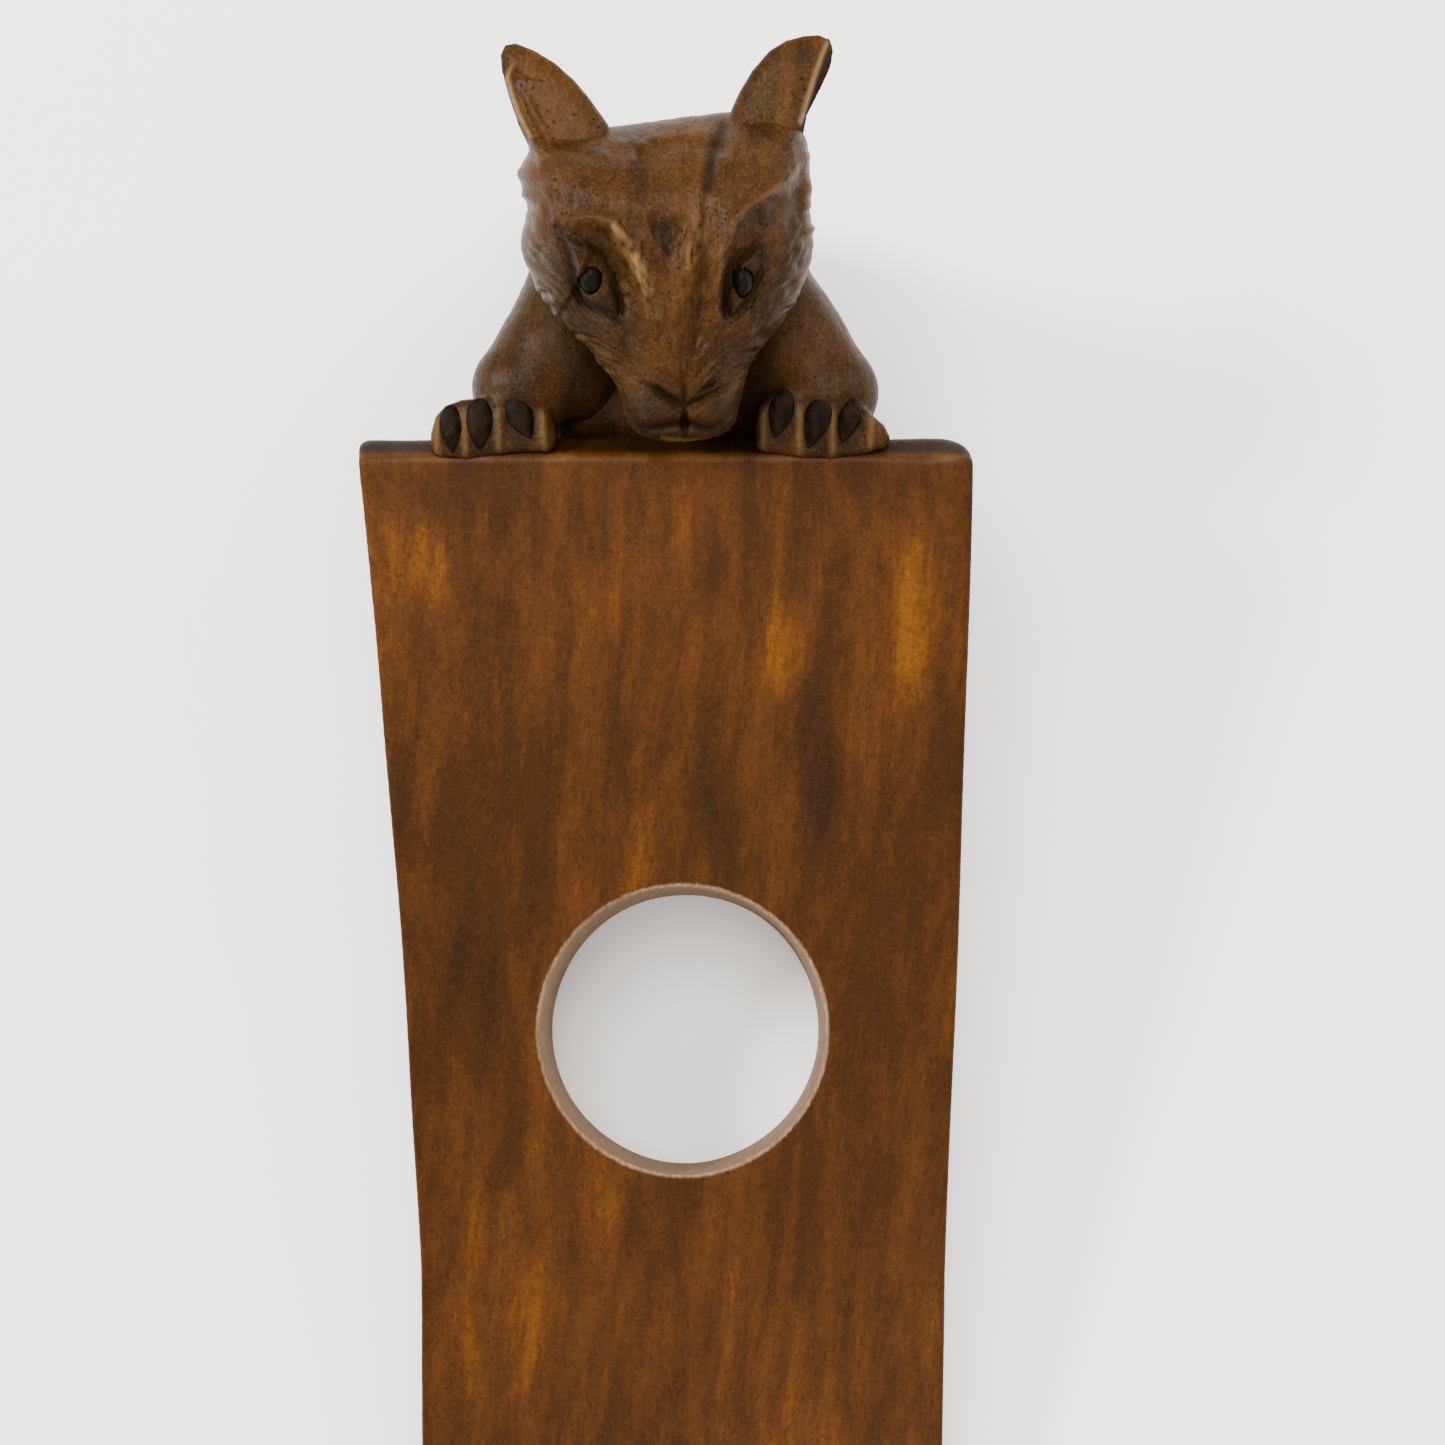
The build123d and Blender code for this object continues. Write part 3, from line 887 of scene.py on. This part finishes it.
# Colours from dark to light as (place on the ramp, colour).
BOARD_TONES = ((0.0, (31, 15, 2)), (0.35, (45, 22, 2)), (0.5, (54, 27, 3)),
               (0.68, (64, 33, 4)), (1.0, (90, 52, 8)))
CARVED_TONES = ((0.0, (24, 14, 5)), (0.3, (37, 21, 6)), (0.5, (48, 28, 8)),
                (0.72, (60, 36, 12)), (1.0, (82, 54, 22)))
# Light and dark figure on the upper face: centre and radii in millimetres, turn, gain.
FIGURE = (
    ((-13.0, 56.0, 38.0), (5.0, 26.0, 12.0), 8, 0.22),
    ((-34.0, 62.0, 38.0), (4.0, 16.0, 12.0), 0, 0.25),
    ((14.0, 52.0, 38.0), (5.0, 10.0, 12.0), -4, 0.32),
    ((31.0, 58.0, 38.0), (5.0, 16.0, 12.0), 0, 0.24),
    ((18.0, 38.0, 34.0), (4.0, 24.0, 12.0), -6, -0.34),
    ((5.0, 30.0, 32.0), (5.0, 16.0, 12.0), -12, -0.26),
    ((-30.0, 12.0, 28.0), (8.0, 30.0, 12.0), 0, -0.16),
    ((-10.0, -44.0, 16.0), (16.0, 18.0, 12.0), 0, 0.14),
)
TILT = (0, 0, 4)    # how far the grain runs off the block's length, in degrees


def spot(m, coords, centre, radii, turn):
    """Soft patch, 1 at centre (millimetres) fading to 0 at the radii."""
    off = m.turn(m.vector("SUBTRACT", coords, centre), (0, 0, turn))
    return m.step(m.length(m.vector("DIVIDE", off, radii)), 0.15, 1.0, 1.0, 0.0)


def wood_layers(m):
    """Coordinates in millimetres, the same bent along the grain, and noises laid on them."""
    mm = m.vector("MULTIPLY", m.add("ShaderNodeTexCoord", 3), (1000.0, 1000.0, 1000.0))
    warp = m.noise(m.stretch(mm, (0.03, 0.012, 0.03)), 2.0)
    warp = m.math("MULTIPLY", m.math("SUBTRACT", warp, 0.5), 9.0)
    grain = m.vector("ADD", mm, m.add("ShaderNodeCombineXYZ", X=warp, Y=0.0, Z=warp))
    layers = {
        "broad": m.noise(m.stretch(grain, (0.085, 0.011, 0.06), TILT), 3.0, 0.6),
        "band": m.noise(m.stretch(grain, (0.34, 0.016, 0.3), TILT), 3.0, 0.6),
        "fine": m.noise(m.stretch(grain, (1.7, 0.11, 1.7), TILT), 4.0, 0.65),
        "cloud": m.noise(m.stretch(mm, (0.03, 0.022, 0.03)), 2.0),
        "speck": m.noise(m.stretch(mm, (1.1, 0.8, 1.1)), 3.0, 0.7),
    }
    return mm, grain, layers


def wood_tone(m, grain, layers, figured):
    """Wood colour from the layers, each with its range and its share of the tone."""
    tone = 0.0
    for name, low, high, share in (("broad", 0.3, 0.72, 0.42), ("band", 0.3, 0.7, 0.26),
                                   ("fine", 0.28, 0.72, 0.14), ("cloud", 0.35, 0.65, 0.12),
                                   ("speck", 0.3, 0.7, 0.12)):
        tone = m.math("MULTIPLY_ADD", m.step(layers[name], low, high), share, tone)
    if figured:
        for centre, radii, turn, gain in FIGURE:
            tone = m.math("MULTIPLY_ADD", spot(m, grain, centre, radii, turn), gain, tone)
    ramp = m.tree.nodes.new("ShaderNodeValToRGB")
    m.put(ramp.inputs[0], tone)
    stops = BOARD_TONES if figured else CARVED_TONES
    while len(ramp.color_ramp.elements) < len(stops):
        ramp.color_ramp.elements.new(0.5)
    for element, (at, colour) in zip(ramp.color_ramp.elements, stops):
        element.position = at
        element.color = srgb(*colour)
    return ramp.outputs[0]


def mottled(m, colour, mm, grain, broad, figured):
    """Ripple figure across the grain, then fine changes of hue and grit."""
    ripple = m.add("ShaderNodeTexWave", 1, set_wave_type="BANDS", set_bands_direction="Y",
                   Vector=m.stretch(grain, (0.10, 0.34, 0.1), (0, 0, 24)), Scale=1.0, Distortion=5.0,
                   Detail=2.0, Detail_Scale=1.4)
    ripple = m.math("MULTIPLY", m.step(ripple, 0.2, 0.8), m.step(broad, 0.35, 0.6))
    colour = m.mix(m.math("MULTIPLY", ripple, 0.09 if figured else 0.04), colour, srgb(36, 18, 4))
    if not figured:
        hue = m.noise(m.stretch(mm, (0.2, 0.17, 0.2)), 2.0, 0.6)
        colour = m.mix(m.step(hue, 0.5, 0.68, 0.0, 0.13), colour, srgb(84, 47, 21))
        colour = m.mix(m.step(hue, 0.32, 0.5, 0.13, 0.0), colour, srgb(62, 54, 20))
    grit = m.noise(m.stretch(mm, (2.6, 2.2, 2.6)), 2.0, 0.6)
    straw, amount = (srgb(88, 66, 18), 0.1) if figured else (srgb(92, 72, 34), 0.22)
    colour = m.mix(m.step(grit, 0.5, 0.72, 0.0, amount), colour, straw)
    return m.mix(m.step(grit, 0.28, 0.5, 0.34, 0.0), colour, srgb(34, 14, 4))


def pores(m, mm, grain, figured):
    """Open pores: short dashes along the grain on the block, dots on the carving."""
    size = (2.1, 0.24, 2.1) if figured else (1.25, 1.15, 0.8)
    pore = m.add("ShaderNodeTexVoronoi", set_feature="F1", Vector=m.stretch(grain, size, TILT),
                 Scale=1.0, Randomness=1.0)
    chosen = m.step(m.noise(m.stretch(mm, (0.3, 0.3, 0.3)), 1.0), 0.36, 0.56)
    return m.math("MULTIPLY", m.step(pore, 0.12, 0.26, 1.0, 0.0), chosen)


def painted_wall_light(m, mm, speck):
    """1 on the wall of the hole, up to its slightly uneven rim; there the wood gets a painted light, a
    paler colour for the glow it takes from the bright floor.
    """
    radius = m.length(m.vector("MULTIPLY", mm, (1.0, 1.0, 0.0)))
    radius = m.math("MULTIPLY_ADD", speck, 0.5, radius)
    return m.step(radius, HOLE_R + 0.45, HOLE_R + 0.95, 1.0, 0.0)


def wood(name, figured):
    """Varnished wood: figured for the block, combed along the fur for the carving."""
    m = Nodes(name)
    mm, grain, layers = wood_layers(m)
    fine, speck = layers["fine"], layers["speck"]
    hole = pores(m, mm, grain, figured)
    colour = wood_tone(m, grain, layers, figured)
    colour = mottled(m, colour, mm, grain, layers["broad"], figured)
    colour = m.mix(m.math("MULTIPLY", hole, 0.5 if figured else 0.75), colour, srgb(20, 11, 5))
    # The dark attribute: stain and darker tones, and painted shade in hollows, creases and under the
    # chin.
    colour = m.mix(m.math("MULTIPLY", m.attribute("dark"), 0.9), colour, srgb(16, 10, 5))
    # Painted highlights from the rim attribute, lightening towards a pale colour.
    highlight_mix = m.math("MULTIPLY", m.attribute("rim"), 0.42 if figured else 0.58)
    colour = m.mix(highlight_mix, colour, srgb(154, 120, 76))
    rough = m.math("MULTIPLY_ADD", m.step(speck, 0.3, 0.75), 0.14, 0.4 if figured else 0.36)
    height = m.math("MULTIPLY_ADD", fine, 0.5, m.math("MULTIPLY", hole, -0.9))
    height = m.math("MULTIPLY_ADD", speck, 0.35, height)
    if figured:
        # Painted light on the wall of the hole: paler for the glow it takes from the bright floor, and
        # rougher.
        wall_light = painted_wall_light(m, mm, speck)
        pale = m.mix(m.step(fine, 0.35, 0.7), srgb(104, 82, 62), srgb(134, 110, 88))
        colour = m.mix(wall_light, colour, pale)
        rough = m.math("MULTIPLY_ADD", wall_light, 0.4, rough)
    else:
        combed = m.add("ShaderNodeCombineXYZ", X=m.math("MULTIPLY", m.attribute("comb_a"), 3.2),
                       Y=m.math("MULTIPLY", m.attribute("comb_r"), 0.9), Z=0.0)
        height = m.math("MULTIPLY_ADD", m.noise(combed, 3.0, 0.6, 0.6), 0.9, height)
    m.put(m.shader.inputs["Base Color"], colour)
    m.put(m.shader.inputs["Roughness"], rough)
    m.shader.inputs["Specular IOR Level"].default_value = 0.07 if figured else 0.06
    bump = m.add("ShaderNodeBump", Strength=0.35 if figured else 0.6, Distance=0.0002, Height=height)
    m.put(m.shader.inputs["Normal"], bump)
    return m.mat


def bead():
    """Dark, dull gloss of the inlaid eyes."""
    m = Nodes("eye_bead")
    haze = m.noise(m.stretch(m.add("ShaderNodeTexCoord", 3), (1400.0, 1400.0, 1400.0)), 3.0)
    colour = m.mix(m.step(haze, 0.35, 0.65), srgb(7, 6, 4), srgb(17, 14, 9))
    m.put(m.shader.inputs["Base Color"], colour)
    m.put(m.shader.inputs["Roughness"], m.step(haze, 0.3, 0.7, 0.3, 0.5))
    m.shader.inputs["Specular IOR Level"].default_value = 0.04
    return m.mat


def horn():
    """Dark stain of the claws, streaked lengthways."""
    m = Nodes("claw_stain")
    streak = m.noise(m.stretch(m.add("ShaderNodeTexCoord", 3), (900.0, 500.0, 900.0)), 4.0, 0.65)
    colour = m.mix(m.step(streak, 0.35, 0.75), srgb(10, 6, 3), srgb(30, 19, 9))
    m.put(m.shader.inputs["Base Color"], colour)
    m.put(m.shader.inputs["Roughness"], m.step(streak, 0.3, 0.7, 0.45, 0.65))
    m.shader.inputs["Specular IOR Level"].default_value = 0.04
    bump = m.add("ShaderNodeBump", Strength=0.4, Distance=0.0002, Height=streak)
    m.put(m.shader.inputs["Normal"], bump)
    return m.mat


# ---------------------------------------------------------------- assembly
def dress(piece, material):
    piece.data.materials.append(material)


# Each box holds its piece, in millimetres, and the last number is the mesh's step.
BLOCK_BOX = ((-46, -104, -1), (42, 82, 48), 0.6)
HEAD_BOX = ((-22, 76, 42), (20, 122, 80), 0.26)
BODY_BOX = ((-26, 79, -1), (20, 136, 62), 0.42)
EAR_BOX = {-1: ((-30, 100, 60), (-4, 136, 88), 0.22), 1: ((4, 100, 60), (28, 136, 88), 0.22)}
ARM_BOX = {-1: ((-36, 76, 34), (-4, 112, 54), 0.26), 1: ((0, 76, 34), (32, 112, 54), 0.26)}
CLAW_BOX = {-1: ((-35, 76, 43), (-18, 88, 52), 0.2), 1: ((10, 76, 43), (27, 88, 52), 0.2)}
EYE_REACH, EYE_STEP = 3.2, 0.16

board = wood("board_wood", True)
carved = wood("carved_wood", False)
claw_mat = horn()

block = build("block", "wedge_block", block_field, *BLOCK_BOX, block_paint, block_relief)
dress(block, board)
head = build("head_carving", "head", head_field, *HEAD_BOX, head_paint, head_relief)
dress(head, carved)
body = build("body_carving", "torso", torso_field, *BODY_BOX, torso_paint, body_relief)
dress(body, carved)
for word, side in (("left", -1), ("right", 1)):
    ear = build(word + "_ear_carving", word + "_ear", ear_field(side), *EAR_BOX[side],
                ear_paint(side), smooth_relief)
    dress(ear, carved)
    arm = build(word + "_forelimb_carving", word + "_forelimb", forelimb_field(side), *ARM_BOX[side],
                arm_paint(side), smooth_relief)
    dress(arm, carved)
    claws = build(word + "_claw_set", word + "_claws", claw_field(side), *CLAW_BOX[side])
    dress(claws, claw_mat)

bead_mat = bead()
for name, at in EYE_AT.items():
    middle = from_face(*at)
    eye = build(name + "_bead", name,
                lambda p, c=at, r=EYES[name][2:]: ell(to_face(p), c, (r[0], r[1], EYE_DEPTH)),
                [c - EYE_REACH for c in middle], [c + EYE_REACH for c in middle], EYE_STEP)
    dress(eye, bead_mat)


# ---------------------------------------------------------------- studio
# Round lamps: place in metres, width, power and tint. All are aimed at one point.
LIGHTS = (
    ("left", (-1.00, 0.25, 0.85), 0.3, 30.0, (1.0, 0.98, 0.95)),
    ("top", (-0.15, 0.35, 1.25), 0.9, 24.0, (1.0, 0.97, 0.93)),
    ("right", (1.00, 0.45, 0.75), 0.8, 18.0, (1.0, 0.97, 0.93)),
    ("front", (0.25, -1.00, 0.90), 1.1, 12.0, (1.0, 0.98, 0.96)),
)
LIT_POINT = Vector((0.0, 0.03, 0.03))


def paper_floor():
    bpy.ops.mesh.primitive_plane_add(size=6.0, location=(0, 0, 0))
    floor = bpy.context.object
    floor.name = "floor"
    m = Nodes("floor_paper")
    cloud = m.noise(m.stretch(m.add("ShaderNodeTexCoord", 3), (40.0, 40.0, 40.0)), 2.0)
    m.put(m.shader.inputs["Base Color"], m.mix(cloud, (0.93, 0.93, 0.93, 1), (0.96, 0.96, 0.96, 1)))
    m.shader.inputs["Roughness"].default_value = 0.9
    floor.data.materials.append(m.mat)


def light():
    for name, at, size, power, tint in LIGHTS:
        data = bpy.data.lights.new(name, "AREA")
        data.shape = "DISK"
        data.size = size
        data.energy = power
        data.color = tint
        lamp = bpy.data.objects.new(name, data)
        lamp.location = at
        lamp.rotation_euler = (lamp.location - LIT_POINT).to_track_quat("Z", "Y").to_euler()
        bpy.context.scene.collection.objects.link(lamp)
    world = bpy.data.worlds.new("sky")
    world.use_nodes = True
    world.node_tree.nodes["Background"].inputs[0].default_value = (1.0, 0.98, 0.95, 1)
    world.node_tree.nodes["Background"].inputs[1].default_value = 0.7
    bpy.context.scene.world = world


paper_floor()
light()
